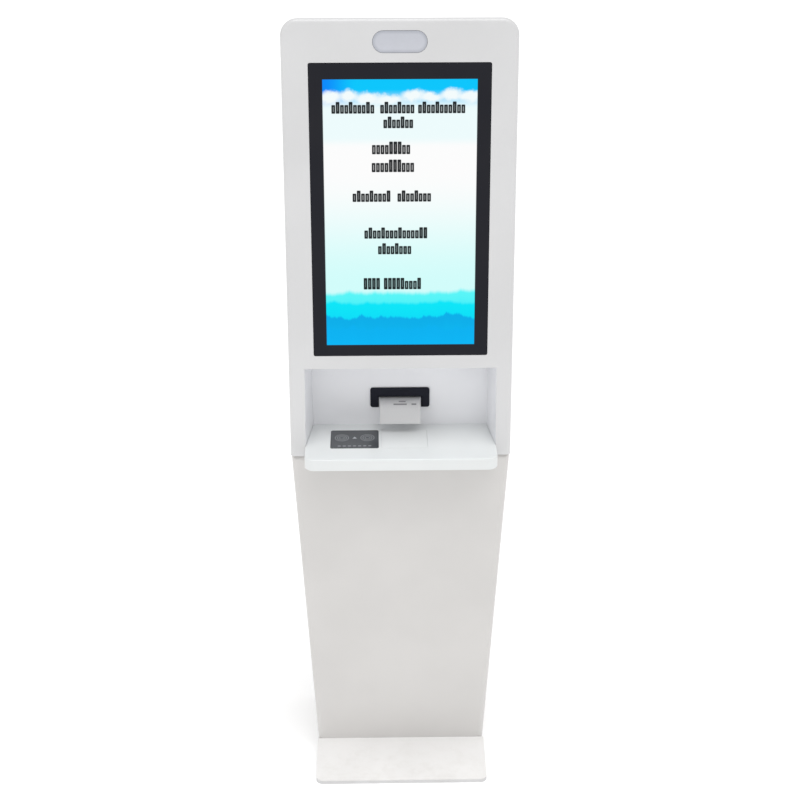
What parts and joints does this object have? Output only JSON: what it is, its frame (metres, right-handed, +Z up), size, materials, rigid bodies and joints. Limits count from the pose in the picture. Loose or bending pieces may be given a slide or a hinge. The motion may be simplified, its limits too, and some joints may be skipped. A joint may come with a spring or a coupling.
{
  "type": "ticket vending machine",
  "caption": "Free-standing queue-ticket kiosk with a leaning touch display, a ticket printer bay over a lipped shelf, a tapered column and a lockable service door.",
  "frame": {"origin": "middle of the base plate's footprint, on the floor", "axes": "+Z up, -Y towards the customer (the display side), +X to the customer's right"},
  "size_m": [0.412, 0.34, 1.4785],
  "materials": {
    "white_paint": "semi-gloss powder coat",
    "grey_steel": "matt grey powder coat",
    "zinc_steel": "zinc-plated",
    "blade_steel": "ground",
    "screen_glass": "polished black-bordered cover glass over a lit picture",
    "tinted_window": "polished tinted window",
    "reader_face": "smooth dark grey with pale marks",
    "black_plastic": "fine-textured",
    "bezel_plastic": "satin near-black",
    "lcd_plastic": "smooth",
    "white_plastic": "smooth",
    "foam": "closed-cell foam",
    "roller_rubber": "ground rubber",
    "board_green": "solder mask",
    "case_aluminium": "anodised",
    "motor_metal": "bare",
    "gear_plastic": "natural",
    "paper": "thermal paper",
    "lock_chrome": "polished",
    "lens_glass": "polished"
  },
  "bodies": {
    "cabinet": {"front_frame": "white_paint", "head_side_left": "white_paint", "head_side_right": "white_paint", "roof": "white_paint", "display_glass": "screen_glass", "glass_gasket": "foam", "glass_retainer": "zinc_steel", "lcd_panel": "lcd_plastic", "display_housing": "zinc_steel", "display_driver_board": "board_green", "display_rails": "zinc_steel", "camera_window": "tinted_window", "camera_box": "black_plastic", "camera_lens": "lens_glass", "computer_case": "case_aluminium", "computer_heatsink": "case_aluminium", "bay_liner": "white_paint", "ticket_shelf": "white_paint", "reader_window": "reader_face", "blanking_plate": "white_plastic", "reader_box": "black_plastic", "printer_bezel": "bezel_plastic", "printer_chassis": "zinc_steel", "drive_motor": "motor_metal", "cutter_body": "zinc_steel", "paper_web": "paper", "paper_spindle": "blade_steel", "column_front": "white_paint", "column_side_left": "white_paint", "column_side_right": "white_paint", "base_plate": "white_paint", "foot_cover": "white_paint", "printer_deck": "zinc_steel", "column_posts": "zinc_steel", "rear_panel": "white_paint", "rear_panel_screws": "zinc_steel", "power_inlet": "black_plastic", "switch_body": "black_plastic", "network_socket": "black_plastic", "fan_frame": "black_plastic", "fan_guard": "zinc_steel", "power_supply": "grey_steel", "rear_ring": "zinc_steel", "door_seal": "foam", "frame_hinge_leaves": "zinc_steel"},
    "service_door": {"rear_door": "white_paint", "door_hinge_leaves": "zinc_steel", "door_lock": "lock_chrome"},
    "lock_turn": {"lock_cam": "lock_chrome"},
    "roll": {"paper_roll": "paper", "roll_core": "black_plastic"},
    "platen": {"platen_roller": "roller_rubber", "platen_gear": "gear_plastic"},
    "idler": {"idler_gear": "gear_plastic"},
    "pinion": {"motor_pinion": "blade_steel"},
    "thermal_head": {"print_head": "case_aluminium"},
    "blade": {"cutter_blade": "blade_steel"},
    "fan_rotor": {"fan_impeller": "black_plastic"},
    "rocker": {"power_switch": "black_plastic"},
    "printed_ticket": {"ticket": "paper"}
  },
  "joints": [
    {"name": "service_door_hinge", "type": "hinge", "parent": "cabinet", "child": "service_door", "pos_m": [-0.203, 0.156, 1.07], "axis": [0, 0, 1], "range_deg": [0, 110]},
    {"name": "lock_turn", "type": "hinge", "parent": "service_door", "child": "lock_turn", "pos_m": [0.166, 0.15, 1.06], "axis": [0, -1, 0], "range_deg": [0, 90]},
    {"name": "roll_spin", "type": "hinge", "parent": "cabinet", "child": "roll", "pos_m": [0, 0.088, 0.7216], "axis": [1, 0, 0], "continuous": true},
    {"name": "platen_spin", "type": "hinge", "parent": "cabinet", "child": "platen", "pos_m": [0, 0.016, 0.7608], "axis": [1, 0, 0], "continuous": true},
    {"name": "idler_spin", "type": "hinge", "parent": "cabinet", "child": "idler", "pos_m": [0.054, 0.02641, 0.74839], "axis": [1, 0, 0], "continuous": true},
    {"name": "pinion_spin", "type": "hinge", "parent": "cabinet", "child": "pinion", "pos_m": [0.054, 0.02149, 0.73486], "axis": [1, 0, 0], "continuous": true},
    {"name": "print_head_lift", "type": "hinge", "parent": "cabinet", "child": "thermal_head", "pos_m": [0, 0.034, 0.785], "axis": [-1, 0, 0], "range_deg": [0, 60]},
    {"name": "cutter_stroke", "type": "slide", "parent": "cabinet", "child": "blade", "axis": [0, 0, -1], "range_m": [0, 0.006], "stiffness_N_per_m": 80, "springref_m": -0.008},
    {"name": "fan_spin", "type": "hinge", "parent": "cabinet", "child": "fan_rotor", "pos_m": [0, 0.135, 0.56], "axis": [0, 1, 0], "continuous": true},
    {"name": "power_rocker", "type": "hinge", "parent": "cabinet", "child": "rocker", "pos_m": [0, 0.147, 0.062], "axis": [-1, 0, 0], "range_deg": [0, 16]},
    {"name": "ticket_pull", "type": "slide", "parent": "cabinet", "child": "printed_ticket", "axis": [0, -1, 0], "range_m": [0, 0.06]}
  ],
  "couplings": [
    {"joint": "platen_spin", "follows": "roll_spin", "ratio": 7.5},
    {"joint": "idler_spin", "follows": "roll_spin", "ratio": -6},
    {"joint": "pinion_spin", "follows": "roll_spin", "ratio": 10}
  ]
}
